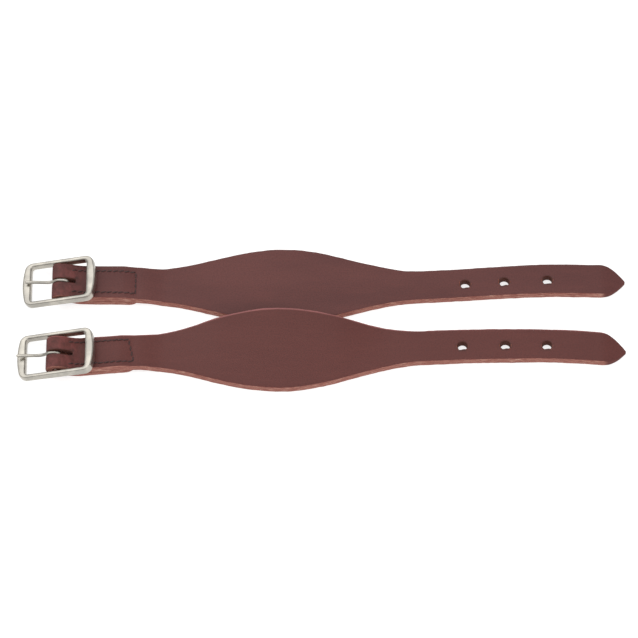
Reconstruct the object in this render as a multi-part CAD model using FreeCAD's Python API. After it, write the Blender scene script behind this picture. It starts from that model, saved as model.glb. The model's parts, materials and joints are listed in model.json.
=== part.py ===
import FreeCAD, Part
import math
import os

# A pair of western spur straps lying side by side. Millimetres, +Z up, +X towards the pointed tips.
# Strap a is the rear one (+Y). Strap b is the front one, and its wide middle lies on strap a's near edge.
# The origin is the middle of the pair's footprint, on the surface that they lie on.

# Leather
LEATHER = 4.3            # strap thickness
TAB_LEATHER = 3.2        # the turned-back tab under the strap
SKIVE = 1.3              # how much the tab is thinned at its end
SKIVE_RUN = 7.0          # over this length
GLUE_GAP = 0.12          # between tab and strap
SEAM_START = 12.0        # from the bar to where strap and tab meet
LIFT_RUN = 15.0          # the strap comes down to the surface over this length past the tab
TAB_CORNER = 1.4         # cut off the tab's corners
HOLE_RADIUS = 2.45
HOLE_SHIFT = -0.85       # the holes are punched a little to the near side of the middle line
TIP_LENGTH = 12.5
TIP_BULGE = 1.8
SLOT_WIDTH = 2.5
SLOT_REACH = 8.2         # slot's rounded end, from the bar
STATION_STEP = 6.0       # spacing of the strap's cross-sections

# The middle line's bends
NECK_FROM, NECK_TO = -132.0, -70.0
DROOP_FROM = 105.0

# Strap b lies on strap a's near edge with its far side lifted
LIE_SLOPE = 0.132
LIE_HALF = 27.0
LIE_END = 57.0

# Buckle, flat before it is pitched
BUCKLE_WIDTH = 24.4
WINDOW_WIDTH = 20.0
END_BARS = 9.3           # the two end bars together
END_BULGE = 2.0
CORNER_RADIUS = 3.2
WINDOW_RADIUS = 1.3
FRAME_ABOVE_BAR = 2.4
FRAME_BELOW_BAR = 1.4    # at the left end; the frame gets deeper to the right
FRAME_DEEPER = 1.1
FRAME_EASE = 0.55
BAR_RADIUS = 1.3
BAR_SOCKET = 1.2
FIT = 0.06
PITCH = 15.8

# Tongue of bent wire with a long, loose eye. Heights are from the bar's axis.
WIRE = 1.5
TONGUE_WIDTH = 1.9
EYE_SLACK = 2.4
TONGUE_REACH = 19.9      # from the eye's near end to the tip
ARM_START = 7.0
ARM_LOW = -1.33          # underside of the arm, which rests on the left-hand bar
TIP_WIRE = 1.4
TIP_EASE = 0.5

# Stitching
STITCH_PITCH = 2.95
STITCH_LENGTH = 2.35
STITCH_RADIUS = 0.36
STITCH_SLANT = 9.0
ROW_SPACING = 12.3
ROW_START = 6.0
CROSS_STITCHES = 4

LOOP_INNER = BAR_RADIUS + FIT
SEAM_TOP = TAB_LEATHER + GLUE_GAP + LEATHER
TAB_END_TOP = TAB_LEATHER - SKIVE + GLUE_GAP

# Each strap: where its bar, tab end, widest point, holes and tip are along X; where its middle line is
# across Y at the buckle, the middle and the billet, and how far its tip droops; and its widths.
STRAPS = {
    "a": {"bar_x": -131.4, "tab_x": -92.4, "middle_x": -19.0, "bend": (35.0, 122.0), "tip_x": 151.9,
          "hole_x": (71.8, 91.4, 113.0), "buckle_y": 19.8, "middle_y": 19.2, "billet_y": 23.4, "droop": -0.8,
          "neck": 18.5, "middle": 42.5, "billet": (16.3, 17.1), "bulge_half": 69.0, "fold": 2.6,
          "buckle_length": 38.3, "eye_shift": EYE_SLACK, "row_end": 38.1, "row_skew": 0.0,
          "lies_on_other": False},
    "b": {"bar_x": -131.85, "tab_x": -93.3, "middle_x": -21.5, "bend": (-20.0, 95.0), "tip_x": 151.2,
          "hole_x": (69.8, 91.2, 111.9), "buckle_y": -22.0, "middle_y": -18.1, "billet_y": -14.3, "droop": -3.1,
          "neck": 17.8, "middle": 42.8, "billet": (18.4, 16.7), "bulge_half": 72.0, "fold": 3.4,
          "buckle_length": 40.1, "eye_shift": 0.0, "row_end": 37.1, "row_skew": 1.3, "lies_on_other": True},
}


def vec(x, y, z):
    return FreeCAD.Vector(x, y, z)


def ease(value, start, end):
    """0 before start, 1 after end, and a smooth step between."""
    t = min(1.0, max(0.0, (value - start) / (end - start)))
    return t * t * (3 - 2 * t)


def bar_height(strap):
    """The frame's rounded left-hand edge rests on the surface, which sets the height of its bar."""
    pitch = math.radians(PITCH)
    reach = strap["buckle_length"] / 2 - FRAME_EASE
    return reach * math.sin(pitch) + (FRAME_BELOW_BAR - FRAME_EASE) * math.cos(pitch) + FRAME_EASE


def middle_line(strap, x):
    left = ease(x, NECK_FROM, NECK_TO)
    right = ease(x, *strap["bend"])
    y = strap["buckle_y"] + (strap["middle_y"] - strap["buckle_y"]) * left
    y += (strap["billet_y"] - strap["middle_y"]) * right
    droop = max(0.0, (x - DROOP_FROM) / (strap["tip_x"] - DROOP_FROM))
    return y + strap["droop"] * droop ** 2


def half_width(strap, x):
    u = x - strap["middle_x"]
    end_width = strap["neck"]
    if u > 0:
        first, last = strap["billet"]
        end_width = first + (last - first) * min(1.0, u / (strap["tip_x"] - strap["middle_x"]))
    if abs(u) >= strap["bulge_half"]:
        return end_width / 2
    swell = (1 + math.cos(math.pi * u / strap["bulge_half"])) / 2
    return (end_width + (strap["middle"] - end_width) * swell) / 2


def underside(strap, x):
    """Height of the single strap's near bottom edge, which comes down from the tab to the surface."""
    return TAB_END_TOP * (1 - ease(x, strap["tab_x"], strap["tab_x"] + LIFT_RUN))


def lie_slope(strap, x):
    if not strap["lies_on_other"]:
        return 0.0
    return LIE_SLOPE * (1 - ease(abs(x - strap["middle_x"]), LIE_HALF, LIE_END))


def section(strap, x):
    """The strap's cross-section at x, a sheared rectangle that stands on its near bottom edge."""
    y = middle_line(strap, x)
    half = half_width(strap, x)
    low = underside(strap, x)
    lift = 2 * half * lie_slope(strap, x)
    corners = [vec(x, y - half, low), vec(x, y + half, low + lift),
               vec(x, y + half, low + lift + LEATHER), vec(x, y - half, low + LEATHER)]
    return Part.makePolygon(corners + corners[:1])


def single_ply(strap):
    """The strap from the tab's end to the tip, before the tip is cut."""
    start, end = strap["tab_x"], strap["tip_x"]
    count = round((end - start) / STATION_STEP)
    stations = [start + (end - start) * i / count for i in range(count + 1)]
    return Part.makeLoft([section(strap, x) for x in stations], True, False)


def s_curve(x0, z0, x1, z1):
    """An edge in the XZ plane that leaves and arrives level."""
    curve = Part.BezierCurve()
    third = (x1 - x0) * 0.45
    curve.setPoles([vec(x0, 0, z0), vec(x0 + third, 0, z0), vec(x1 - third, 0, z1), vec(x1, 0, z1)])
    return curve.toShape()


def line(x0, z0, x1, z1):
    return Part.LineSegment(vec(x0, 0, z0), vec(x1, 0, z1)).toShape()


def half_turn(bar_x, bar_z, radius):
    """The side of the fold away from the strap, from above the bar to below it."""
    return Part.Arc(vec(bar_x, 0, bar_z + radius), vec(bar_x - radius, 0, bar_z),
                    vec(bar_x, 0, bar_z - radius)).toShape()


def loop_outer(strap):
    return LOOP_INNER + strap["fold"]


def fold_profile(strap):
    """Side view of the folded end: strap on top, round the bar, and the tab back underneath."""
    bar, seam, end = strap["bar_x"], strap["bar_x"] + SEAM_START, strap["tab_x"]
    axis, outer = bar_height(strap), loop_outer(strap)
    skive = end - SKIVE_RUN
    tab_tip = end - GLUE_GAP
    inner_top = TAB_LEATHER + GLUE_GAP
    edges = [line(end, TAB_END_TOP + LEATHER, skive, SEAM_TOP),
             line(skive, SEAM_TOP, seam, SEAM_TOP),
             s_curve(seam, SEAM_TOP, bar, axis + outer),
             half_turn(bar, axis, outer),
             s_curve(bar, axis - outer, seam, 0),
             line(seam, 0, tab_tip, 0),
             line(tab_tip, 0, tab_tip, TAB_LEATHER - SKIVE),
             line(tab_tip, TAB_LEATHER - SKIVE, skive, TAB_LEATHER),
             line(skive, TAB_LEATHER, seam, TAB_LEATHER),
             s_curve(seam, TAB_LEATHER, bar, axis - LOOP_INNER),
             half_turn(bar, axis, LOOP_INNER),
             s_curve(bar, axis + LOOP_INNER, seam, inner_top),
             line(seam, inner_top, skive, inner_top),
             line(skive, inner_top, end, TAB_END_TOP),
             line(end, TAB_END_TOP, end, TAB_END_TOP + LEATHER)]
    return Part.Face(Part.Wire(Part.__sortEdges__(edges)))


def tab_corner(strap, side):
    """What is cut off one corner of the tab. It ends level with the tab's sloping top."""
    end = strap["tab_x"]
    edge = middle_line(strap, end) + side * half_width(strap, end)
    inner, outer = edge - side * TAB_CORNER, edge + side * TAB_CORNER
    points = [vec(end, inner, -1), vec(end, outer, -1), vec(end - 2 * TAB_CORNER, outer, -1)]
    prism = Part.Face(Part.makePolygon(points + points[:1])).extrude(vec(0, 0, 1 + LEATHER))
    glue = GLUE_GAP / 2
    skive = end - SKIVE_RUN
    side_view = [vec(end, outer, -1), vec(end, outer, TAB_END_TOP - glue),
                 vec(skive, outer, TAB_LEATHER + glue), vec(skive, outer, -1)]
    below = Part.Face(Part.makePolygon(side_view + side_view[:1])).extrude(vec(0, -side * 3 * TAB_CORNER, 0))
    return prism.common(below)


def folded_end(strap):
    bar, end = strap["bar_x"], strap["tab_x"]
    reach = strap["middle"]
    slab = fold_profile(strap).extrude(vec(0, reach, 0))
    slab.translate(vec(0, strap["buckle_y"] - reach / 2, 0))
    first = bar - loop_outer(strap) - 1
    stations = [first, bar, bar + SEAM_START, (bar + SEAM_START + end) / 2, end]
    sides = []
    for side in (-1, 1):
        curve = Part.BSplineCurve()
        curve.interpolate([vec(x, middle_line(strap, x) + side * half_width(strap, x), -1) for x in stations])
        sides.append(curve)
    near, far = sides
    outline = Part.Wire([near.toShape(), Part.LineSegment(near.EndPoint, far.EndPoint).toShape(),
                         far.toShape(), Part.LineSegment(far.StartPoint, near.StartPoint).toShape()])
    return slab.common(Part.Face(outline).extrude(vec(0, 0, reach)))


def tip_cutter(strap):
    """A prism that holds the whole strap and ends in the pointed tip's outline."""
    shoulder = strap["tip_x"] - TIP_LENGTH
    y = middle_line(strap, shoulder)
    half = half_width(strap, shoulder)
    point = vec(strap["tip_x"], middle_line(strap, strap["tip_x"]), -1)
    start = strap["bar_x"] - loop_outer(strap) - 1
    far_y, near_y = strap["middle"], -strap["middle"]
    edges = []
    for side, wide_y in ((-1, near_y), (1, far_y)):
        corner = vec(shoulder, y + side * half, -1)
        chord = point - corner
        outward = vec(-chord.y, chord.x, 0).normalize() * side * TIP_BULGE
        edges.append(Part.Arc(corner, (corner + point) * 0.5 + outward, point).toShape())
        edges.append(Part.LineSegment(vec(shoulder, wide_y, -1), corner).toShape())
        edges.append(Part.LineSegment(vec(start, wide_y, -1), vec(shoulder, wide_y, -1)).toShape())
    edges.append(Part.LineSegment(vec(start, near_y, -1), vec(start, far_y, -1)).toShape())
    face = Part.Face(Part.Wire(Part.__sortEdges__(edges)))
    return face.extrude(vec(0, 0, 30))


def tongue_slot(strap):
    """The slot for the tongue, right round the fold, with a rounded end in strap and tab."""
    radius = SLOT_WIDTH / 2
    left = strap["bar_x"] - loop_outer(strap) - 1
    length = strap["bar_x"] + SLOT_REACH - radius - left
    y = strap["buckle_y"]
    box = Part.makeBox(length, SLOT_WIDTH, 20, vec(left, y - radius, -1))
    return box.fuse(Part.makeCylinder(radius, 20, vec(left + length, y, -1)))


def strap_leather(strap):
    leather = folded_end(strap).fuse(single_ply(strap)).removeSplitter()
    leather = leather.common(tip_cutter(strap)).cut(tongue_slot(strap))
    for side in (-1, 1):
        leather = leather.cut(tab_corner(strap, side))
    for x in strap["hole_x"]:
        y = middle_line(strap, x) + HOLE_SHIFT
        leather = leather.cut(Part.makeCylinder(HOLE_RADIUS, 20, vec(x, y, -5)))
    return leather


def placed_at_bar(shape, strap, pitch=0.0):
    """Moves a shape made round the origin to the strap's bar, pitched with its right side up."""
    shape.rotate(vec(0, 0, 0), vec(0, 1, 0), -pitch)
    shape.translate(vec(strap["bar_x"], strap["buckle_y"], bar_height(strap)))
    return shape


def buckle_frame(strap):
    """A rectangular frame with bowed ends, rounded corners and a socket for the bar in each rail."""
    half, side = strap["buckle_length"] / 2, BUCKLE_WIDTH / 2
    opening = strap["buckle_length"] - END_BARS
    shoulder = half - END_BULGE
    base = -FRAME_BELOW_BAR - FRAME_DEEPER
    height = FRAME_ABOVE_BAR - base
    edges = [Part.Arc(vec(-shoulder, side, base), vec(-half, 0, base), vec(-shoulder, -side, base)).toShape(),
             Part.LineSegment(vec(-shoulder, -side, base), vec(shoulder, -side, base)).toShape(),
             Part.Arc(vec(shoulder, -side, base), vec(half, 0, base), vec(shoulder, side, base)).toShape(),
             Part.LineSegment(vec(shoulder, side, base), vec(-shoulder, side, base)).toShape()]
    plate = Part.Face(Part.Wire(edges)).extrude(vec(0, 0, height))
    corners = [e for e in plate.Edges if e.BoundBox.ZLength > height / 2]
    plate = plate.makeFillet(CORNER_RADIUS, corners)
    window = Part.makeBox(opening, WINDOW_WIDTH, height, vec(-opening / 2, -WINDOW_WIDTH / 2, base))
    corners = [e for e in window.Edges if e.BoundBox.ZLength > height / 2]
    frame = plate.cut(window.makeFillet(WINDOW_RADIUS, corners))
    side_view = [vec(-half, -side, -FRAME_BELOW_BAR), vec(half, -side, base),
                 vec(half, -side, FRAME_ABOVE_BAR), vec(-half, -side, FRAME_ABOVE_BAR)]
    wedge = Part.Face(Part.makePolygon(side_view + side_view[:1])).extrude(vec(0, 2 * side, 0))
    frame = frame.common(wedge).removeSplitter()
    level = [e for e in frame.Edges if e.BoundBox.ZLength < height / 2]
    frame = frame.makeFillet(FRAME_EASE, level)
    frame = frame.cut(bar_cylinder())
    return placed_at_bar(frame, strap, PITCH)


def bar_cylinder():
    length = WINDOW_WIDTH + 2 * BAR_SOCKET
    return Part.makeCylinder(BAR_RADIUS, length, vec(0, -length / 2, 0), vec(0, 1, 0))


def centre_bar(strap):
    return placed_at_bar(bar_cylinder(), strap)


def obround(radius, length, width):
    """A bar with two round ends, seen along Y, from the origin's round end to one at -X."""
    start = -width / 2
    ends = [Part.makeCylinder(radius, width, vec(x, start, 0), vec(0, 1, 0)) for x in (0, -length)]
    return Part.makeBox(length, width, 2 * radius, vec(-length, start, -radius)).fuse(ends)


def buckle_tongue(strap):
    """Made with the eye's near end at the origin; the arm runs to -X and rests on the left-hand bar."""
    eye_outer = LOOP_INNER + WIRE
    tip = -TONGUE_REACH
    eye_left = -EYE_SLACK - LOOP_INNER
    arm = [(0, eye_outer), (eye_left, eye_outer - TIP_EASE), (-ARM_START, ARM_LOW + WIRE),
           (tip + TIP_EASE, ARM_LOW + TIP_WIRE), (tip, ARM_LOW + TIP_WIRE - TIP_EASE),
           (tip, ARM_LOW + TIP_EASE), (tip + TIP_EASE, ARM_LOW), (eye_left, ARM_LOW), (-EYE_SLACK, 0)]
    points = [vec(x, -TONGUE_WIDTH / 2, z) for x, z in arm]
    arm_solid = Part.Face(Part.makePolygon(points + points[:1])).extrude(vec(0, TONGUE_WIDTH, 0))
    eye = obround(eye_outer, EYE_SLACK, TONGUE_WIDTH)
    tongue = eye.fuse(arm_solid).cut(obround(LOOP_INNER, EYE_SLACK, 2 * TONGUE_WIDTH)).removeSplitter()
    tongue.translate(vec(strap["eye_shift"], 0, 0))
    return placed_at_bar(tongue, strap)


def stitch_places(strap):
    """Middle and direction of each stitch: two rows along the edges and one across the tab's end."""
    places = []
    run = strap["row_end"] - ROW_START
    count = round(run / STITCH_PITCH)
    for side in (-1, 1):
        for i in range(count):
            share = (i + 0.5) / count
            x = strap["bar_x"] + ROW_START + share * (run - side * strap["row_skew"])
            places.append((x, middle_line(strap, x) + side * ROW_SPACING / 2, STITCH_SLANT))
    step = ROW_SPACING / CROSS_STITCHES
    for i in range(CROSS_STITCHES):
        offset = (i + 0.5) * step - ROW_SPACING / 2
        skew = offset / ROW_SPACING * 2 * strap["row_skew"]
        x = strap["bar_x"] + strap["row_end"] - skew
        places.append((x, middle_line(strap, x) + offset, 90.0))
    return places


def skived(strap, x):
    """How far the seam has come down at x, where the tab gets thinner."""
    return SKIVE * max(0.0, (x - strap["tab_x"] + SKIVE_RUN) / SKIVE_RUN)


def top_height(strap, x):
    """Height of the grain face above the seam, which falls from the fold to the tab's end."""
    t = ease(x, strap["bar_x"], strap["bar_x"] + SEAM_START)
    fold_top = bar_height(strap) + loop_outer(strap)
    return fold_top + (SEAM_TOP - fold_top) * t - skived(strap, x)


def thread(strap, height_at, radius):
    stitches = []
    for x, y, angle in stitch_places(strap):
        if height_at(strap, x) is None:
            continue
        stitch = Part.makeCylinder(radius, STITCH_LENGTH, vec(-STITCH_LENGTH / 2, 0, 0), vec(1, 0, 0))
        stitch.rotate(vec(0, 0, 0), vec(0, 0, 1), angle)
        stitch.translate(vec(x, y, height_at(strap, x)))
        stitches.append(stitch)
    return Part.makeCompound(stitches)


def tab_stitch_height(strap, x):
    """Stitches on the tab's underside are pulled in flush with the leather."""
    if x < strap["bar_x"] + SEAM_START:
        return None
    return STITCH_RADIUS


NODES = {
    "strap_leather": strap_leather,
    "buckle_frame": buckle_frame,
    "centre_bar": centre_bar,
    "buckle_tongue": buckle_tongue,
    "needle_thread": lambda strap: thread(strap, top_height, STITCH_RADIUS),
    "bobbin_thread": lambda strap: thread(strap, tab_stitch_height, STITCH_RADIUS),
}


def main():
    os.makedirs("parts", exist_ok=True)
    for letter, strap in STRAPS.items():
        for name, make in NODES.items():
            shape = make(strap)
            shape.exportStep(f"parts/{name}_{letter}.step")
            box = shape.BoundBox
            print(f"{name}_{letter}", shape.isValid(), len(shape.Solids), round(shape.Volume, 1),
                  [round(v, 2) for v in (box.XMin, box.XMax, box.YMin, box.YMax, box.ZMin, box.ZMax)])
        print("bar", letter, strap["bar_x"], strap["buckle_y"], round(bar_height(strap), 4))
        for x in strap["hole_x"]:
            print("hole", x, round(middle_line(strap, x) + HOLE_SHIFT, 3))


main()
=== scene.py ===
import json
import math
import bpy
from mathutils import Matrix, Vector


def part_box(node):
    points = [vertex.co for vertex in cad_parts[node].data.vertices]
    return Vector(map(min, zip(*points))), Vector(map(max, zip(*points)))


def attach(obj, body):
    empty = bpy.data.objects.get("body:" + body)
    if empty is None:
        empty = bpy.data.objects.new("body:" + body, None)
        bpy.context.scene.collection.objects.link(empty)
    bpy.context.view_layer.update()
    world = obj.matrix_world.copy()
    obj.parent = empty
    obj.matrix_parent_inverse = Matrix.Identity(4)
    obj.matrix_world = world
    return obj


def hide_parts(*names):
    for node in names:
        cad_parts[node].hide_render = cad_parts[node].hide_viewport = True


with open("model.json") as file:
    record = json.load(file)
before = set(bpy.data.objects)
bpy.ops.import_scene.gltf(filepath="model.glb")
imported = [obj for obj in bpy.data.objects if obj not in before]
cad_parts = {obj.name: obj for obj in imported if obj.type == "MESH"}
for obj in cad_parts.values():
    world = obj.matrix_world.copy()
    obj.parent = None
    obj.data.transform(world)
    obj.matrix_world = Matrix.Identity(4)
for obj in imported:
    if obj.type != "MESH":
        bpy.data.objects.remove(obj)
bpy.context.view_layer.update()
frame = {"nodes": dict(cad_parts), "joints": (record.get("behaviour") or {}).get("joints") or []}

from types import SimpleNamespace

import bmesh
import bpy
from mathutils import Matrix, Vector, noise

# Without a seed the fray and the stitches' unevenness would differ from run to run.
NOISE_SEED = 7
noise.seed_set(NOISE_SEED)

# The pieces are modelled in millimetres and brought to metres when each one is finished.
MM = 0.001

# Leather
LEATHER = 4.3
TAB_LEATHER = 3.2        # the part that is folded back under the strap
SKIVE = 1.3              # how much thinner the tab is at its end
SKIVE_RUN = 7.0
GLUE_GAP = 0.12
FOLD_FLAT = 0.74         # the fold lies lower over the bar than it reaches out beside it
SEAM_START = 12.0        # from the bar to where strap and tab lie together
LIFT_RUN = 15.0          # from the tab's end to where the strap is down on the surface
TAB_CORNER = 1.4
HOLE_RADIUS = 2.45
HOLE_SHIFT = -0.85       # from the middle line towards the near edge
TIP_LENGTH = 12.5
TIP_BULGE = 2.2          # how far the tip's sides bow out
TIP_BLUNT = 0.3
TIP_THIN = 0.6           # share of the thickness that the tip loses
SLOT_WIDTH = 2.2
SLOT_REACH = 8.2         # from the bar to the slot's end
NECK_FROM, NECK_TO = -132.0, -70.0
DROOP_FROM = 105.0
LIE_SLOPE = 0.132        # the front strap lies on the rear one, with its far side raised
LIE_HALF = 27.0          # how far from its middle the strap has the full slope
LIE_END = 57.0           # and how far from there on it has none
EDGE_WANDER = 0.22       # how far the cut wanders from its line
WANDER_ALONG, WANDER_ACROSS = 0.05, 3

# How the leather's mesh is laid out
ROWS = 12
COLUMN_STEP = 1.4
PUNCH_ROWS = 2           # rows that a hole's block reaches to each side of the middle line
PUNCH_SPARE = 0.05       # keeps the last faces of a hole's block within its reach
SLOT_SPARE = 1.2         # a cross line is set this far past each end of the slot
SIDE_CUTS = 3
ROUND_GRAIN = 0.55
ROUND_FLESH = 0.3
LEVEL = 0.8              # how upright a grain or flesh face's normal is, at least
ON_SURFACE = 1e-4

# Wear and surface
FRAY = 0.19
FRAY_SHARES = (0.5, 1.0, 0.3)          # along the strap, across it and through the leather
FINE_FRAY, BROAD_FRAY = 0.9, 0.31      # how quickly the fine and the broad roughness change
BROAD_SHARE = 0.6
NAP = 0.10
SEAM_SINK = 0.32
SEAM_SOFT = 1.3                        # how wide the sunk seam's sides are
PATTERN_SHIFT = 40       # times a strap's seed, keeps the two straps' grain patterns apart
BETWEEN_PATTERNS = (200.0, 300.0)
BENT_FULL, BENT_FROM, BENT_TO = -2, 7, 15      # past the bar: creasing is full, fades and ends
# Painted shade round the slot and the holes: how strong it is and where it fades from their edges
SLOT_PAINTED_SHADE, HOLE_PAINTED_SHADE = 0.85, 0.8
PAINTED_SHADE_FROM, SLOT_PAINTED_SHADE_TO, HOLE_PAINTED_SHADE_TO = 0.1, 0.6, 0.7
SLOT_END_PAINTED_SHADE = 0.8
TIP_STAIN_RUN = 3

# Buckle
BUCKLE_WIDTH = 24.4
WINDOW_WIDTH = 20.0
END_BARS = 9.3
FRAME_DEEPER = 1.1       # how much deeper the frame is at its right end
END_BULGE = 2.0
CORNER_RADIUS = 3.2
WINDOW_RADIUS = 1.6
PITCH = math.radians(15.8)
BAR_RADIUS = 1.3
FIT = 0.06               # clearance round the bar

# Tongue; heights are from the bar's axis
WIRE = 1.5
TONGUE_WIDTH = 1.75
EYE_SLACK = 2.4          # how much longer than round the tongue's eye is
TONGUE_REACH = 19.9
ARM_LOW = -1.33
TIP_WIRE = 1.4
TONGUE_SIDES = 12
EYE_STEPS = 8
EYE_OPEN_STEPS = 3       # where the eye's end meets the arm, short of a half turn

# Stitching
STITCH_PITCH = 2.95
STITCH_LENGTH = 3.05
THREAD_RADIUS = 0.4
THREAD_SIDES = 8
STITCH_SLANT = math.radians(16.0)
# Along a stitch, in halves of its length, and height
STITCH_BEND = [(-1, -0.75), (-0.86, -0.2), (-0.45, 0.12), (0, 0.17), (0.45, 0.12), (0.86, -0.2), (1, -0.75)]
STITCH_RISE = 0.12       # of a stitch's middle above the sunk seam
BOBBIN_RISE = 0.2
ROW_SPACING = 12.3
ROW_START = 6.0
CROSS_STITCHES = 4
UNEVEN_ALONG, UNEVEN_ACROSS, UNEVEN_TURN = 0.18, 0.14, 0.09
UNEVEN_STEP = 1.7        # how far apart two stitches are in the noise that moves them
SLOPE_STEP = 0.5         # how far ahead the seam's slope is felt

LOOP_INNER = BAR_RADIUS + FIT

# Where each strap's features lie and how wide it is. Strap a is the rear one and b the front one.
STRAPS = [
    SimpleNamespace(letter="a", tab_x=-92.4, middle_x=-19.0, bend=(35.0, 122.0), hole_x=(71.8, 91.4, 113.0),
                    middle_y=19.2, billet_y=23.4, droop=-0.8, neck=18.5, middle=42.5, billet=(16.3, 17.1),
                    bulge_half=69.0, fold=2.6, buckle_length=38.3, eye_shift=EYE_SLACK, row_end=38.1,
                    row_skew=0.0, tongue_yaw=-1.2, slope=0.0, seed=3.0),
    SimpleNamespace(letter="b", tab_x=-93.3, middle_x=-21.5, bend=(-20.0, 95.0), hole_x=(69.8, 91.2, 111.9),
                    middle_y=-18.1, billet_y=-14.3, droop=-3.1, neck=17.8, middle=42.8, billet=(18.4, 16.7),
                    bulge_half=72.0, fold=3.9, buckle_length=40.1, eye_shift=0.0, row_end=37.1,
                    row_skew=1.3, tongue_yaw=0.8, slope=LIE_SLOPE, seed=11.0),
]
JOINTS = {joint["name"]: joint for joint in frame["joints"]}
for strap in STRAPS:
    bar = JOINTS[f"buckle_swing_{strap.letter}"]["pos_m"]
    strap.bar_x, strap.buckle_y, strap.bar_z = [value / MM for value in bar]
    strap.tip_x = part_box(f"strap_leather_{strap.letter}")[1][0] / MM
    strap.loop_outer = LOOP_INNER + strap.fold
    strap.fold_run = math.pi * (LOOP_INNER + strap.fold / 2)


def ease(value, start, end):
    """0 up to start and 1 from end on, with a smooth step between."""
    t = min(1.0, max(0.0, (value - start) / (end - start)))
    return t * t * (3 - 2 * t)


def mix(a, b, t):
    """The value that is the share t of the way from a to b."""
    return a + (b - a) * t


# ---------------------------------------------------------------- materials

class Val:
    """A shader socket that + and * work on, with a few functions."""

    def __init__(self, mat, socket):
        self.mat, self.socket = mat, socket

    def op(self, operation, *others, clamp=False):
        settings = {"operation": operation, "use_clamp": clamp}
        return self.mat.node("ShaderNodeMath", settings, dict(enumerate((self, *others))))[0]

    def __add__(self, other):
        return self.op("ADD", other)

    def __mul__(self, other):
        return self.op("MULTIPLY", other)

    __radd__, __rmul__ = __add__, __mul__

    def clamp(self):
        return self.op("ADD", 0.0, clamp=True)

    def step(self, low, high):
        """0 at low and 1 at high, with a smooth step between; low may be above high."""
        node = self.mat.node("ShaderNodeMapRange", {"interpolation_type": "SMOOTHSTEP"},
                             {"Value": self, "From Min": low, "From Max": high})
        return node["Result"]


class Outs:
    """The outputs of a node, by name or number, as Vals."""

    def __init__(self, mat, node):
        self.mat, self.node = mat, node

    def __getitem__(self, key):
        return Val(self.mat, self.node.outputs[key])


class Mat:
    """A material and the nodes that go into its Principled shader."""

    def __init__(self, name):
        self.material = bpy.data.materials.new(name)
        self.material.use_nodes = True
        self.tree = self.material.node_tree
        self.shader = self.tree.nodes["Principled BSDF"]

    def node(self, kind, settings=None, inputs=None):
        """A node of any type, with its settings first and then the values or links of its sockets."""
        node = self.tree.nodes.new(kind)
        for key, value in (settings or {}).items():
            setattr(node, key, value)
        for key, value in (inputs or {}).items():
            self.put(node.inputs[key], value)
        return Outs(self, node)

    def put(self, socket, value):
        if isinstance(value, Val):
            self.tree.links.new(value.socket, socket)
        else:
            socket.default_value = value

    def set(self, **inputs):
        """Sets the shader's sockets by name, with _ for a space."""
        for key, value in inputs.items():
            self.put(self.shader.inputs[key.replace("_", " ")], value)

    def place(self):
        return self.node("ShaderNodeTexCoord")["Object"]

    def attribute(self, name):
        return self.node("ShaderNodeAttribute", {"attribute_name": name})["Vector"]

    def scaled(self, vector, *factors):
        inputs = {0: vector, 1: factors}
        return self.node("ShaderNodeVectorMath", {"operation": "MULTIPLY"}, inputs)["Vector"]

    def split(self, vector):
        outs = self.node("ShaderNodeSeparateXYZ", None, {0: vector})
        return outs["X"], outs["Y"], outs["Z"]

    def noise(self, vector, scale, detail=3.0, roughness=0.5):
        inputs = {"Vector": vector, "Scale": scale, "Detail": detail, "Roughness": roughness}
        return self.node("ShaderNodeTexNoise", None, inputs)["Fac"]

    def cells(self, vector, scale):
        """Distance to the nearest crease of a net of cells."""
        inputs = {"Vector": vector, "Scale": scale}
        return self.node("ShaderNodeTexVoronoi", {"feature": "DISTANCE_TO_EDGE"}, inputs)["Distance"]

    def blend(self, a, b, factor):
        """Colour a, or b where factor is 1. The Mix node's colour sockets are 6 and 7 in and 2 out."""
        return self.node("ShaderNodeMix", {"data_type": "RGBA"}, {0: factor, 6: a, 7: b})[2]

    def bump(self, height, distance, strength):
        inputs = {"Height": height, "Distance": distance, "Strength": strength}
        return self.node("ShaderNodeBump", None, inputs)["Normal"]


def rgb(red, green, blue):
    """A linear colour from its display values, 0 to 255."""
    def linear(value):
        value /= 255
        return value / 12.92 if value <= 0.04045 else ((value + 0.055) / 1.055) ** 2.4
    return (linear(red), linear(green), linear(blue), 1.0)


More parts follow.
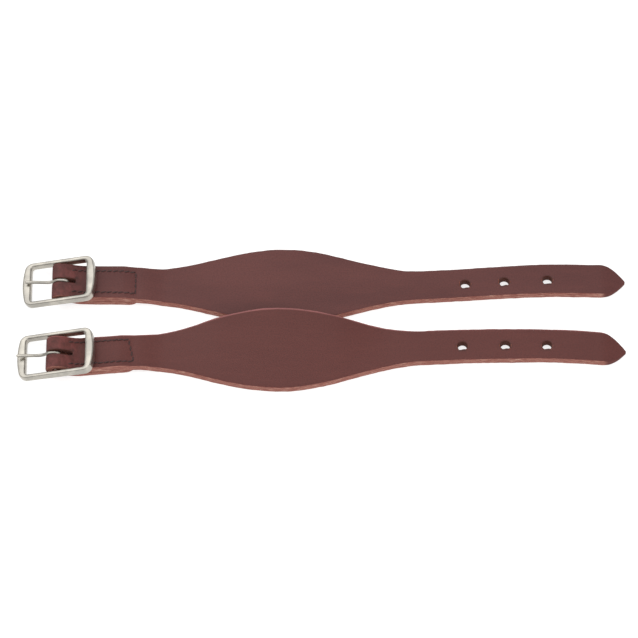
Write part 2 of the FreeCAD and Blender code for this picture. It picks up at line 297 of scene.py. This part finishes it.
def grain_leather():
    """Waxed burgundy grain side: soft mottling, fine grain, redder where it is bent; painted shade in the
    crease hollows and round the slot and holes, and a painted highlight on the front strap's far edge.
    """
    deep_burgundy, burgundy = rgb(90, 46, 43), rgb(102, 55, 51)
    front_strap_red, streak_red, pore_brown = rgb(94, 42, 35), rgb(110, 57, 50), rgb(60, 30, 28)
    painted_highlight_rim, crease_red, painted_shade_brown = rgb(158, 98, 96), rgb(118, 60, 57), rgb(56, 27, 22)
    mat = Mat("grain_leather")
    flat = mat.attribute("blank")
    broad = mat.noise(mat.scaled(flat, 0.35, 1.0, 1.0), 0.035, 4.0)
    streaks = mat.noise(mat.scaled(flat, 0.25, 1.6, 1.0), 0.22, 5.0, 0.6)
    fine = mat.noise(flat, 1.3, 6.0, 0.62)
    creases = mat.cells(flat, 1.05).step(0.0, 0.16)
    colour = mat.blend(deep_burgundy, burgundy, broad.step(0.3, 0.7))
    front = mat.split(flat)[2].step(*BETWEEN_PATTERNS)
    colour = mat.blend(colour, front_strap_red, front * 0.55)
    colour = mat.blend(colour, streak_red, streaks.step(0.45, 0.85) * 0.35)
    colour = mat.blend(colour, pore_brown, fine.step(0.62, 0.3) * 0.4)
    from_far_edge, bent, dark = mat.split(mat.attribute("marks"))
    folds = mat.noise(mat.scaled(flat, 1.0, 0.6, 1.0), 0.42, 4.0, 0.55)
    # Painted highlight: the front strap's far edge is made lighter and pinker, as if it caught the light.
    rim = (from_far_edge.step(0.9, 0.25) * front * fine.step(0.1, 0.5)).clamp()
    colour = mat.blend(colour, painted_highlight_rim, rim * 0.85)
    colour = mat.blend(colour, crease_red, (bent * folds.step(0.42, 0.66) * 0.6).clamp())
    # Painted shade: darker in the hollows of the fold's creases and round the slot and the holes.
    colour = mat.blend(colour, painted_shade_brown, (bent * folds.step(0.44, 0.3) * 0.35 + dark).clamp())
    mat.set(Base_Color=colour, Roughness=0.46 + fine * 0.16 + bent * 0.04, Specular_IOR_Level=0.36)
    mat.set(Normal=mat.bump(fine * 0.6 + creases * 0.4 + bent * folds * 6.0, 0.00009, 0.75))
    return mat.material


def cut_leather():
    """The cut edge: pale red fibre in long layers, with painted shade in the holes and the slot, stained
    dark at the tip.
    """
    layer_red, layer_pale, bare_fibre = rgb(134, 79, 70), rgb(174, 121, 108), rgb(208, 168, 151)
    fibre_shade, painted_wall_shade, tip_stain = rgb(112, 58, 50), rgb(70, 36, 27), rgb(92, 50, 47)
    mat = Mat("cut_edge_leather")
    flat = mat.attribute("blank")
    layers = mat.noise(mat.scaled(flat, 0.28, 0.28, 2.2), 0.9, 6.0, 0.65)
    patches = mat.noise(flat, 0.16, 4.0, 0.6)
    fibres = mat.noise(mat.scaled(flat, 1.0, 1.0, 1.6), 1.7, 5.0, 0.7)
    colour = mat.blend(layer_red, layer_pale, layers.step(0.3, 0.68))
    colour = mat.blend(colour, bare_fibre, patches.step(0.42, 0.68) * layers.step(0.46, 0.68) * 0.8)
    colour = mat.blend(colour, fibre_shade, fibres.step(0.56, 0.3) * 0.5)
    dark = mat.split(mat.attribute("marks"))[2]
    # Painted shade on the walls of the holes and the slot.
    colour = mat.blend(colour, painted_wall_shade, dark)
    shoulder = STRAPS[0].tip_x - TIP_LENGTH
    on_tip = mat.split(flat)[0].step(shoulder, shoulder + TIP_STAIN_RUN)
    colour = mat.blend(colour, tip_stain, on_tip * 0.9)
    mat.set(Base_Color=colour, Roughness=0.86, Specular_IOR_Level=0.2)
    mat.set(Normal=mat.bump(layers * 0.5 + fibres, 0.0003, 0.9))
    return mat.material


def flesh_leather():
    """The flesh side, napped and dull."""
    nap_red, nap_pale, patch_brown = rgb(110, 62, 52), rgb(150, 92, 76), rgb(92, 52, 46)
    mat = Mat("flesh_leather")
    flat = mat.attribute("blank")
    nap = mat.noise(mat.scaled(flat, 0.5, 1.0, 1.0), 1.2, 6.0, 0.7)
    patches = mat.noise(flat, 0.07, 3.0)
    colour = mat.blend(nap_red, nap_pale, nap.step(0.3, 0.7))
    colour = mat.blend(colour, patch_brown, patches.step(0.5, 0.7) * 0.5)
    mat.set(Base_Color=colour, Roughness=0.93, Specular_IOR_Level=0.15)
    mat.set(Normal=mat.bump(nap, 0.0004, 0.9))
    return mat.material


def nickel():
    """Satin nickel plate: faint polishing lines, a warm cast and a few duller patches."""
    dull_nickel, bright_nickel = rgb(163, 159, 151), rgb(187, 182, 172)
    mat = Mat("satin_nickel")
    place = mat.place()
    lines = mat.noise(mat.scaled(place, 240.0, 2400.0, 2400.0), 1.0, 3.0)
    patches = mat.noise(place, 160.0, 4.0)
    colour = mat.blend(dull_nickel, bright_nickel, patches.step(0.35, 0.65))
    mat.set(Base_Color=colour, Metallic=1.0, Roughness=0.24 + patches * 0.12 + lines * 0.05)
    mat.set(Normal=mat.bump(patches * 0.8 + lines * 0.2, 0.00004, 0.5))
    return mat.material


def waxed_thread():
    """Dark brown thread with the light catching on its twist."""
    thread_dark, thread_light = rgb(46, 25, 24), rgb(78, 46, 43)
    mat = Mat("waxed_thread")
    twist = mat.noise(mat.place(), 2600.0, 2.0)
    mat.set(Base_Color=mat.blend(thread_dark, thread_light, twist.step(0.35, 0.7)), Roughness=0.55)
    mat.set(Normal=mat.bump(twist, 0.00015, 0.8))
    return mat.material


# ---------------------------------------------------------------- pieces

def finish_piece(bm, name, materials, body, nodes, levels=1):
    """Makes the object from a bmesh in millimetres, with its body, finish and the CAD nodes it replaces."""
    bmesh.ops.scale(bm, vec=(MM, MM, MM), verts=bm.verts)
    mesh = bpy.data.meshes.new(name)
    bm.to_mesh(mesh)
    bm.free()
    for material in materials:
        mesh.materials.append(material)
    mesh.shade_smooth()
    obj = bpy.data.objects.new(name, mesh)
    bpy.context.scene.collection.objects.link(obj)
    smoother = obj.modifiers.new("smooth", "SUBSURF")
    smoother.levels = smoother.render_levels = levels
    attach(obj, body)
    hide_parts(*nodes)


def middle_line(strap, x):
    """Where the strap's middle line runs: it shifts at the neck and the billet and droops at the tip."""
    y = mix(strap.buckle_y, strap.middle_y, ease(x, NECK_FROM, NECK_TO))
    y += (strap.billet_y - strap.middle_y) * ease(x, *strap.bend)
    return y + strap.droop * max(0.0, (x - DROOP_FROM) / (strap.tip_x - DROOP_FROM)) ** 2


def half_width(strap, x):
    """Half the strap's width: even at the neck, tapered along the billet, with a swell between them."""
    from_middle = x - strap.middle_x
    end_width = strap.neck
    if from_middle > 0:
        end_width = mix(*strap.billet, min(1.0, from_middle / (strap.tip_x - strap.middle_x)))
    if abs(from_middle) >= strap.bulge_half:
        return end_width / 2
    swell = (1 + math.cos(math.pi * from_middle / strap.bulge_half)) / 2
    return mix(end_width, strap.middle, swell) / 2


def outline_point(strap, s, t):
    """A point of the flat blank: s runs along it and t from -1 to 1 across it."""
    on_tab = s < strap.bar_x - strap.fold_run / 2
    along = 2 * strap.bar_x - strap.fold_run - s if on_tab else s
    y, half = middle_line(strap, along), half_width(strap, along)
    if on_tab:
        half -= max(0.0, (along - strap.tab_x) / 2 + TAB_CORNER)
    shoulder = strap.tip_x - TIP_LENGTH
    if s > shoulder:
        taper = (s - shoulder) / TIP_LENGTH
        half = mix(half, TIP_BLUNT, taper) + TIP_BULGE * 4 * taper * (1 - taper)
    wander = EDGE_WANDER * noise.noise(Vector((s * WANDER_ALONG, t * WANDER_ACROSS, strap.seed)))
    return Vector((s, y + t * (half + wander * abs(t)), 0))


def skived(strap, x):
    """How much thinner the tab is at x."""
    return SKIVE * max(0.0, (x - strap.tab_x + SKIVE_RUN) / SKIVE_RUN)


def seam_height(strap, x):
    """Height of the strap's underside, on the tab and where it comes down to the surface."""
    on_tab = TAB_LEATHER + GLUE_GAP - skived(strap, min(x, strap.tab_x))
    return on_tab * (1 - ease(x, strap.tab_x, strap.tab_x + LIFT_RUN))


def laid(strap, flat):
    """Takes a point of the flat blank to where it lies: over the tab, round the bar, or under the strap."""
    s, y, depth = flat.x, flat.y, -flat.z
    share = depth / LEATHER
    if s >= strap.bar_x:
        down = ease(s, strap.bar_x, strap.bar_x + SEAM_START)
        low = seam_height(strap, s)
        grain = mix(strap.bar_z + strap.loop_outer * FOLD_FLAT, low + LEATHER, down)
        flesh = mix(strap.bar_z + LOOP_INNER, low, down)
        slope = strap.slope * (1 - ease(abs(s - strap.middle_x), LIE_HALF, LIE_END))
        lift = slope * (y - middle_line(strap, s) + half_width(strap, s))
        thin = TIP_THIN * LEATHER * ease(s, strap.tip_x - TIP_LENGTH, strap.tip_x) * (1 - share)
        return Vector((s, y, mix(grain, flesh, share) + lift - thin))
    turn = (strap.bar_x - s) / strap.fold_run
    if turn < 1:
        angle = math.pi * (0.5 + turn)
        radius = mix(strap.loop_outer, LOOP_INNER, share)
        rise = mix(FOLD_FLAT, 1.0, share) if turn < 0.5 else 1.0
        x = strap.bar_x + radius * math.cos(angle)
        return Vector((x, y, strap.bar_z + rise * radius * math.sin(angle)))
    x = 2 * strap.bar_x - strap.fold_run - s
    down = ease(x, strap.bar_x, strap.bar_x + SEAM_START)
    grain = mix(strap.bar_z - strap.loop_outer, 0.0, down)
    flesh = mix(strap.bar_z - LOOP_INNER, TAB_LEATHER - skived(strap, x), down)
    return Vector((x, y, mix(grain, flesh, share)))


def blank_columns(strap):
    """Where the blank's cross lines are: evenly spaced between the blocks that the holes are cut from."""
    tab_end = 2 * strap.bar_x - strap.fold_run - (strap.tab_x - GLUE_GAP)
    block = COLUMN_STEP * PUNCH_ROWS
    stops = [tab_end, strap.bar_x - strap.fold_run - SLOT_REACH - SLOT_SPARE,
             strap.bar_x + SLOT_REACH + SLOT_SPARE]
    for x in strap.hole_x:
        stops += [x - block, x + block]
    stops += [strap.tip_x - TIP_LENGTH, strap.tip_x]
    columns = [stops[0]]
    for start, end in zip(stops, stops[1:]):
        count = max(1, round((end - start) / COLUMN_STEP))
        columns += [mix(start, end, i / count) for i in range(1, count + 1)]
    return columns


def punch(bm, start, end, y, radius, reach, shift=0.0):
    """Cuts a round-ended hole: the block of faces about it goes, and the block's rim closes in on it."""
    def in_block(point):
        return start - reach < point.x < end + reach and abs(point.y - y) < reach + radius
    gone = [f for f in bm.faces if in_block(f.calc_center_median())]
    rim = [e for e in bm.edges if sum(1 for f in e.link_faces if f in gone) == 1]
    bmesh.ops.delete(bm, geom=gone, context="FACES")
    grown = bmesh.ops.extrude_edge_only(bm, edges=[e for e in rim if e.is_valid])
    for vert in grown["geom"]:
        if isinstance(vert, bmesh.types.BMVert):
            spine = Vector((min(max(vert.co.x, start + radius), end - radius), y, 0))
            vert.co = spine + (vert.co - spine).normalized() * radius + Vector((0, shift, 0))


def flat_blank(strap):
    """The strap's grain side, flat, slotted and punched."""
    columns = blank_columns(strap)
    bm = bmesh.new()
    bmesh.ops.create_grid(bm, x_segments=len(columns) - 1, y_segments=ROWS, size=1.0)
    for vert in bm.verts:
        column = round((vert.co.x + 1) / 2 * (len(columns) - 1))
        vert.co = outline_point(strap, columns[column], vert.co.y)
    row = strap.neck / ROWS
    punch(bm, strap.bar_x - strap.fold_run - SLOT_REACH, strap.bar_x + SLOT_REACH, strap.buckle_y,
          SLOT_WIDTH / 2, PUNCH_ROWS * row - SLOT_WIDTH / 2)
    for x in strap.hole_x:
        punch(bm, x - HOLE_RADIUS, x + HOLE_RADIUS, middle_line(strap, x), HOLE_RADIUS,
              PUNCH_ROWS * COLUMN_STEP - HOLE_RADIUS + PUNCH_SPARE, HOLE_SHIFT)
    return bm


def thicken(bm):
    """Gives the blank its thickness and takes the sharpness off its edges."""
    lower = bmesh.ops.extrude_face_region(bm, geom=bm.faces[:], use_keep_orig=True)["geom"]
    lower = [v for v in lower if isinstance(v, bmesh.types.BMVert)]
    bmesh.ops.translate(bm, verts=lower, vec=(0, 0, -LEATHER))
    bmesh.ops.recalc_face_normals(bm, faces=bm.faces)
    upright = [e for e in bm.edges if abs(e.verts[0].co.z - e.verts[1].co.z) > LEATHER / 2]
    bmesh.ops.subdivide_edges(bm, edges=upright, cuts=SIDE_CUTS, use_grid_fill=True)
    for height, width in ((0.0, ROUND_GRAIN), (-LEATHER, ROUND_FLESH)):
        bm.normal_update()
        corner = [e for e in bm.edges if all(abs(v.co.z - height) < ON_SURFACE for v in e.verts)
                  and len(e.link_faces) == 2 and min(abs(f.normal.z) for f in e.link_faces) < 0.5]
        bmesh.ops.bevel(bm, geom=corner, offset=width, segments=2, profile=0.5, affect="EDGES", material=-1)
    bm.normal_update()


def leather_strap(strap, materials):
    """The strap: its blank, given its surfaces, frayed at the cut, and bent to where it lies."""
    bm = flat_blank(strap)
    thicken(bm)
    blank = bm.verts.layers.float_vector.new("blank")
    marked = bm.verts.layers.float_vector.new("marks")
    for face in bm.faces:
        face.material_index = 0 if face.normal.z > LEVEL else 2 if face.normal.z < -LEVEL else 1
    frayed = {v for f in bm.faces if f.material_index == 1 for v in f.verts}
    for vert in bm.verts:
        flat = vert.co.copy()
        vert[blank] = flat + Vector((0, 0, PATTERN_SHIFT * strap.seed))
        vert[marked] = marks(strap, flat)
        rough = noise.noise_vector(flat * FINE_FRAY + Vector((0, 0, strap.seed)))
        rough += BROAD_SHARE * noise.noise_vector(flat * BROAD_FRAY)
        if vert in frayed:
            vert.co += rough * Vector(FRAY_SHARES) * FRAY
        elif flat.z < -LEATHER / 2:
            vert.co.z += abs(rough.z) * NAP
        else:
            vert.co.z -= seam_sink(strap, flat)
        vert.co = laid(strap, vert.co)
    letter = strap.letter
    finish_piece(bm, f"leather_strap_{letter}", materials, f"strap_{letter}",
                 [f"strap_leather_{letter}"])


def marks(strap, flat):
    """How far a point is from the strap's far edge, how creased by bending it is, and how much painted
    shade it takes round the slot and the holes.
    """
    far_edge = middle_line(strap, flat.x) + half_width(strap, flat.x)
    bent = ease(flat.x, strap.bar_x - strap.fold_run, strap.bar_x + BENT_FULL)
    bent *= 1 - ease(flat.x, strap.bar_x + BENT_FROM, strap.bar_x + BENT_TO)
    # Painted shade round the slot, fading out past its ends, and round each hole.
    from_slot = abs(flat.y - strap.buckle_y) - SLOT_WIDTH / 2
    dark = SLOT_PAINTED_SHADE * (1 - ease(from_slot, PAINTED_SHADE_FROM, SLOT_PAINTED_SHADE_TO))
    dark *= 1 - ease(abs(flat.x - strap.bar_x), SLOT_REACH, SLOT_REACH + SLOT_END_PAINTED_SHADE)
    for x in strap.hole_x:
        off = math.hypot(flat.x - x, flat.y - middle_line(strap, x) - HOLE_SHIFT) - HOLE_RADIUS
        dark = max(dark, HOLE_PAINTED_SHADE * (1 - ease(off, PAINTED_SHADE_FROM, HOLE_PAINTED_SHADE_TO)))
    return Vector((far_edge - flat.y, bent, dark))


def seam_sink(strap, flat):
    """How far the stitches draw the leather down, along the two rows and across the tab's end."""
    off = abs(flat.y - middle_line(strap, flat.x))
    rows = abs(off - ROW_SPACING / 2)
    along = flat.x - strap.bar_x
    beside = 1 - ease(max(ROW_START - along, along - strap.row_end), 0.0, SEAM_SOFT)
    across = 1 - ease(abs(along - strap.row_end), 0.0, SEAM_SOFT)
    inside = 1 if off < ROW_SPACING / 2 else 0
    return SEAM_SINK * max(beside * (1 - ease(rows, 0.0, SEAM_SOFT)), across * inside)


def frame_outline(angle, length, width, radius, bulge):
    """The point at an angle on a rounded rectangle, with room left for its ends to bow outwards."""
    x = math.copysign(length / 2 - bulge - radius, math.cos(angle)) + radius * math.cos(angle)
    y = math.copysign(width / 2 - radius, math.sin(angle)) + radius * math.sin(angle)
    return Vector((x, y, 0))


def bow(point, length, width, bulge):
    """Bows the ends of a frame outwards."""
    share = max(0.0, 1 - (2 * point.y / width) ** 2)
    return Vector((point.x + math.copysign(bulge * share, point.x), point.y, point.z))


# Across the frame's bar: share of the way from the outer outline to the window, and height
FRAME_SECTION = [(0.0, -0.9), (0.0, 0.4), (0.01, 1.5), (0.06, 2.1), (0.18, 2.34), (0.5, 2.4), (0.84, 2.3),
                 (0.98, 1.8), (1.0, 0.6), (1.0, -0.7), (0.88, -1.32), (0.5, -1.4), (0.12, -1.34)]
FRAME_SECTION_LOW = 1.4  # how far the section reaches below the bar's axis
CORNER_STEPS = 32
SIDE_STEPS = 5


def frame_loop_points(length, width, radius, bulge):
    """Evenly matched points round an outline, corners and sides alike."""
    corners = [(i + 0.5) * 2 * math.pi / CORNER_STEPS for i in range(CORNER_STEPS)]
    ring = [frame_outline(angle, length, width, radius, bulge) for angle in corners]
    points = []
    for i, point in enumerate(ring):
        after = ring[(i + 1) % len(ring)]
        points.append(point)
        if (i + 1) % (CORNER_STEPS // 4) == 0:
            points += [point.lerp(after, k / SIDE_STEPS) for k in range(1, SIDE_STEPS)]
    return [bow(point, length, width, bulge) for point in points]


def follow(known, fresh):
    """What is known of the old ring's vertices, for the fresh vertices drawn out from them."""
    return {v: known[e.other_vert(v)] for v in fresh for e in v.link_edges if e.other_vert(v) in known}


def buckle_frame(strap, material):
    """The buckle's frame, drawn round its window by one section, crowned on top."""
    outer = frame_loop_points(strap.buckle_length, BUCKLE_WIDTH, CORNER_RADIUS, END_BULGE)
    inner = frame_loop_points(strap.buckle_length - END_BARS, WINDOW_WIDTH, WINDOW_RADIUS, 0.0)
    bm = bmesh.new()
    start = bmesh.ops.create_circle(bm, segments=len(outer), radius=1.0)["verts"]
    edges = bm.edges[:]
    order = sorted(start, key=lambda v: math.atan2(v.co.y, v.co.x) % (2 * math.pi))
    rank = {v: i for i, v in enumerate(order)}
    for ring, (share, height) in enumerate(FRAME_SECTION + FRAME_SECTION[:1]):
        if ring:
            grown = bmesh.ops.extrude_edge_only(bm, edges=edges)["geom"]
            edges = [g for g in grown if isinstance(g, bmesh.types.BMEdge)]
            fresh = [g for g in grown if isinstance(g, bmesh.types.BMVert)]
            rank = follow(rank, fresh)
        for vert, i in rank.items():
            vert.co = outer[i].lerp(inner[i], share)
            below = max(0.0, -height / FRAME_SECTION_LOW) * (vert.co.x / strap.buckle_length + 0.5)
            vert.co.z = height - FRAME_DEEPER * below
    bmesh.ops.remove_doubles(bm, verts=bm.verts, dist=0.001)
    bmesh.ops.recalc_face_normals(bm, faces=bm.faces)
    seat(bm, strap, PITCH)
    letter = strap.letter
    finish_piece(bm, f"buckle_{letter}", [material], f"buckle_{letter}",
                 [f"buckle_frame_{letter}"], levels=2)


def seat(bm, strap, pitch=0.0):
    """Moves what was made about the origin to the strap's bar, its right side raised by the pitch."""
    turn = Matrix.Rotation(-pitch, 4, "Y")
    place = Matrix.Translation((strap.bar_x, strap.buckle_y, strap.bar_z))
    bmesh.ops.transform(bm, matrix=place @ turn, verts=bm.verts)


def sweep(bm, path, sides):
    """A wire along a path in the XZ plane. Each stop is (x, z, width across, thickness)."""
    ring = bmesh.ops.create_circle(bm, segments=sides, radius=0.5)["verts"]
    shape = {v: v.co.copy() for v in ring}
    edges = [e for e in bm.edges if all(v in shape for v in e.verts)]
    for i, (x, z, width, thick) in enumerate(path):
        if i:
            grown = bmesh.ops.extrude_edge_only(bm, edges=edges)["geom"]
            edges = [g for g in grown if isinstance(g, bmesh.types.BMEdge)]
            fresh = [g for g in grown if isinstance(g, bmesh.types.BMVert)]
            shape = follow(shape, fresh)
        else:
            first = edges
        before, after = path[max(i - 1, 0)], path[min(i + 1, len(path) - 1)]
        along = Vector((after[0] - before[0], 0, after[1] - before[1])).normalized()
        up = Vector((-along.z, 0, along.x))
        for vert, flat in shape.items():
            vert.co = Vector((x, 0, z)) + Vector((0, flat.x * width, 0)) + up * flat.y * thick
    bmesh.ops.holes_fill(bm, edges=first + edges, sides=0)


def wire_path():
    """The tongue's wire, from its tip along the arm and up onto the eye, then round the eye to the arm."""
    radius = LOOP_INNER + WIRE / 2
    arm = ARM_LOW + TIP_WIRE / 2
    rounded_tip = [(0.05, 0.8, 0.6), (0.3, 1.5, 1.1), (1.0, 1.9, TIP_WIRE)]
    path = [(-TONGUE_REACH + x, arm, width, thick) for x, width, thick in rounded_tip]
    along_arm = [(-16.0, arm, TIP_WIRE), (-12.0, arm, TIP_WIRE), (-8.6, arm + 0.02, TIP_WIRE)]
    up_to_eye = [(-6.9, arm + 0.25, WIRE), (-5.4, arm + 1.1, WIRE), (-3.9, radius - 0.22, WIRE),
                 (-EYE_SLACK, radius, WIRE), (-EYE_SLACK / 2, radius, WIRE)]
    path += [(x, z, TONGUE_WIDTH, thick) for x, z, thick in along_arm + up_to_eye]
    for centre, start, steps in ((0.0, 90, EYE_STEPS), (-EYE_SLACK, -90, EYE_STEPS - EYE_OPEN_STEPS)):
        for i in range(steps + 1):
            angle = math.radians(start - 180 * i / EYE_STEPS)
            path.append((centre + radius * math.cos(angle), radius * math.sin(angle), TONGUE_WIDTH, WIRE))
    return path


def buckle_tongue(strap, material):
    """The tongue, as it stands on the bar, a little off square."""
    bm = bmesh.new()
    sweep(bm, wire_path(), TONGUE_SIDES)
    turn = Matrix.Rotation(math.radians(strap.tongue_yaw), 4, "Z")
    bmesh.ops.transform(bm, matrix=Matrix.Translation((strap.eye_shift, 0, 0)) @ turn, verts=bm.verts)
    bmesh.ops.recalc_face_normals(bm, faces=bm.faces)
    seat(bm, strap)
    letter = strap.letter
    finish_piece(bm, f"tongue_{letter}", [material], f"tongue_{letter}",
                 [f"buckle_tongue_{letter}"])


def stitch_places(strap):
    """Middle and direction of each stitch, in two rows along the strap and one across the tab's end."""
    places = []
    run = strap.row_end - ROW_START
    count = round(run / STITCH_PITCH)
    for side in (-1, 1):
        for i in range(count):
            x = strap.bar_x + ROW_START + (i + 0.5) / count * (run - side * strap.row_skew)
            places.append((x, middle_line(strap, x) + side * ROW_SPACING / 2, STITCH_SLANT))
    step = ROW_SPACING / CROSS_STITCHES
    for i in range(CROSS_STITCHES):
        offset = (i + 0.5) * step - ROW_SPACING / 2
        skew = offset / ROW_SPACING * 2 * strap.row_skew
        x = strap.bar_x + strap.row_end - skew
        places.append((x, middle_line(strap, x) + offset, math.pi / 2))
    return places


def stitch(bm, x, y, angle, height, facing, drop):
    """One stitch: a short bowed thread whose ends go into the leather. It faces up (1) or down (-1)."""
    half = STITCH_LENGTH / 2
    thick = 2 * THREAD_RADIUS
    piece = bmesh.new()
    sweep(piece, [(half * along, rise * facing, thick, thick) for along, rise in STITCH_BEND], THREAD_SIDES)
    turn = Matrix.Rotation(angle, 4, "Z")
    tilt = Matrix.Rotation(drop, 4, "Y")
    bmesh.ops.transform(piece, matrix=Matrix.Translation((x, y, height)) @ turn @ tilt, verts=piece.verts)
    bmesh.ops.recalc_face_normals(piece, faces=piece.faces)
    mesh = bpy.data.meshes.new("stitch")
    piece.to_mesh(mesh)
    piece.free()
    bm.from_mesh(mesh)
    bpy.data.meshes.remove(mesh)


def seam_thread(strap, material, name, underside):
    """All of a seam's stitches on one side. Those on the underside start where the tab lies flat."""
    bm = bmesh.new()
    for i, (x, y, angle) in enumerate(stitch_places(strap)):
        if underside and x < strap.bar_x + SEAM_START:
            continue
        jitter = noise.noise_vector(Vector((i * UNEVEN_STEP, strap.seed, 2.0 if underside else 5.0)))
        x, y = x + UNEVEN_ALONG * jitter.x, y + UNEVEN_ACROSS * jitter.y
        angle += UNEVEN_TURN * jitter.z
        if underside:
            stitch(bm, x, y, -angle, THREAD_RADIUS + BOBBIN_RISE, -1, 0.0)
            continue
        here, after = [laid(strap, Vector((v, y, 0))).z for v in (x, x + SLOPE_STEP)]
        stitch(bm, x, y, angle, here - SEAM_SINK + STITCH_RISE, 1, math.atan2(here - after, SLOPE_STEP))
    letter = strap.letter
    finish_piece(bm, f"{name}_stitches_{letter}", [material], f"strap_{letter}",
                 [f"{name}_thread_{letter}"])


# ---------------------------------------------------------------- studio

VIEW_ELEVATION = math.radians(60)
LENS = 250.0
SENSOR = 36.0
VIEW_WIDTH = 0.319       # how much the view takes in, side to side, at the object
AIM = Vector((-0.0015, 0.0023, 0.0))
FAR_CLIP = 20
WORLD_LIGHT = 0.62
SOFTBOXES = [("key", (-0.8, 0.8, 1.8), (2.4, 2.0), 21.0), ("fill", (0.8, -1.0, 1.3), (1.4, 1.4), 9.0)]
FLOOR_HALF = 6.0
PAPER_GREY = 0.5
PAPER_GLOW = 0.72        # lifts the paper to white where the softboxes leave it grey
WHITE = (1.0, 1.0, 1.0, 1.0)


def camera():
    """A long lens from in front and above."""
    data = bpy.data.cameras.new("camera")
    data.lens = LENS
    data.sensor_width = SENSOR
    data.clip_end = FAR_CLIP
    obj = bpy.data.objects.new("camera", data)
    bpy.context.scene.collection.objects.link(obj)
    back = Vector((0, -math.cos(VIEW_ELEVATION), math.sin(VIEW_ELEVATION)))
    obj.location = AIM + back * (VIEW_WIDTH * LENS / SENSOR)
    obj.rotation_euler = (-back).to_track_quat("-Z", "Y").to_euler()
    bpy.context.scene.camera = obj


def softbox(name, place, size, watts):
    """A rectangular light that faces the origin."""
    data = bpy.data.lights.new(name, "AREA")
    data.shape = "RECTANGLE"
    data.size, data.size_y = size
    data.energy = watts
    obj = bpy.data.objects.new(name, data)
    bpy.context.scene.collection.objects.link(obj)
    obj.location = place
    obj.rotation_euler = (-Vector(place)).to_track_quat("-Z", "Y").to_euler()


def studio():
    """White surroundings, two softboxes and a sheet of white paper for a floor."""
    world = bpy.data.worlds.new("studio")
    bpy.context.scene.world = world
    world.use_nodes = True
    background = world.node_tree.nodes["Background"]
    background.inputs["Color"].default_value = WHITE
    background.inputs["Strength"].default_value = WORLD_LIGHT
    for name, place, size, watts in SOFTBOXES:
        softbox(name, place, size, watts)
    bm = bmesh.new()
    bmesh.ops.create_grid(bm, x_segments=1, y_segments=1, size=FLOOR_HALF)
    mesh = bpy.data.meshes.new("floor")
    bm.to_mesh(mesh)
    bm.free()
    floor = bpy.data.objects.new("floor", mesh)
    bpy.context.scene.collection.objects.link(floor)
    paper = Mat("white_paper")
    paper.set(Base_Color=(PAPER_GREY, PAPER_GREY, PAPER_GREY, 1.0), Roughness=0.9, Specular_IOR_Level=0.1)
    paper.set(Emission_Color=WHITE, Emission_Strength=PAPER_GLOW)
    mesh.materials.append(paper.material)
    bpy.context.scene.view_settings.view_transform = "Standard"


def main():
    """The camera, the studio and both straps. The CAD's centre bars stay, plated like the frames."""
    camera()
    studio()
    leather = [grain_leather(), cut_leather(), flesh_leather()]
    metal, thread = nickel(), waxed_thread()
    for strap in STRAPS:
        leather_strap(strap, leather)
        buckle_frame(strap, metal)
        buckle_tongue(strap, metal)
        seam_thread(strap, thread, "needle", underside=False)
        seam_thread(strap, thread, "bobbin", underside=True)
        bar = frame["nodes"][f"centre_bar_{strap.letter}"]
        for part in bar.material_slots:
            part.material = metal


main()
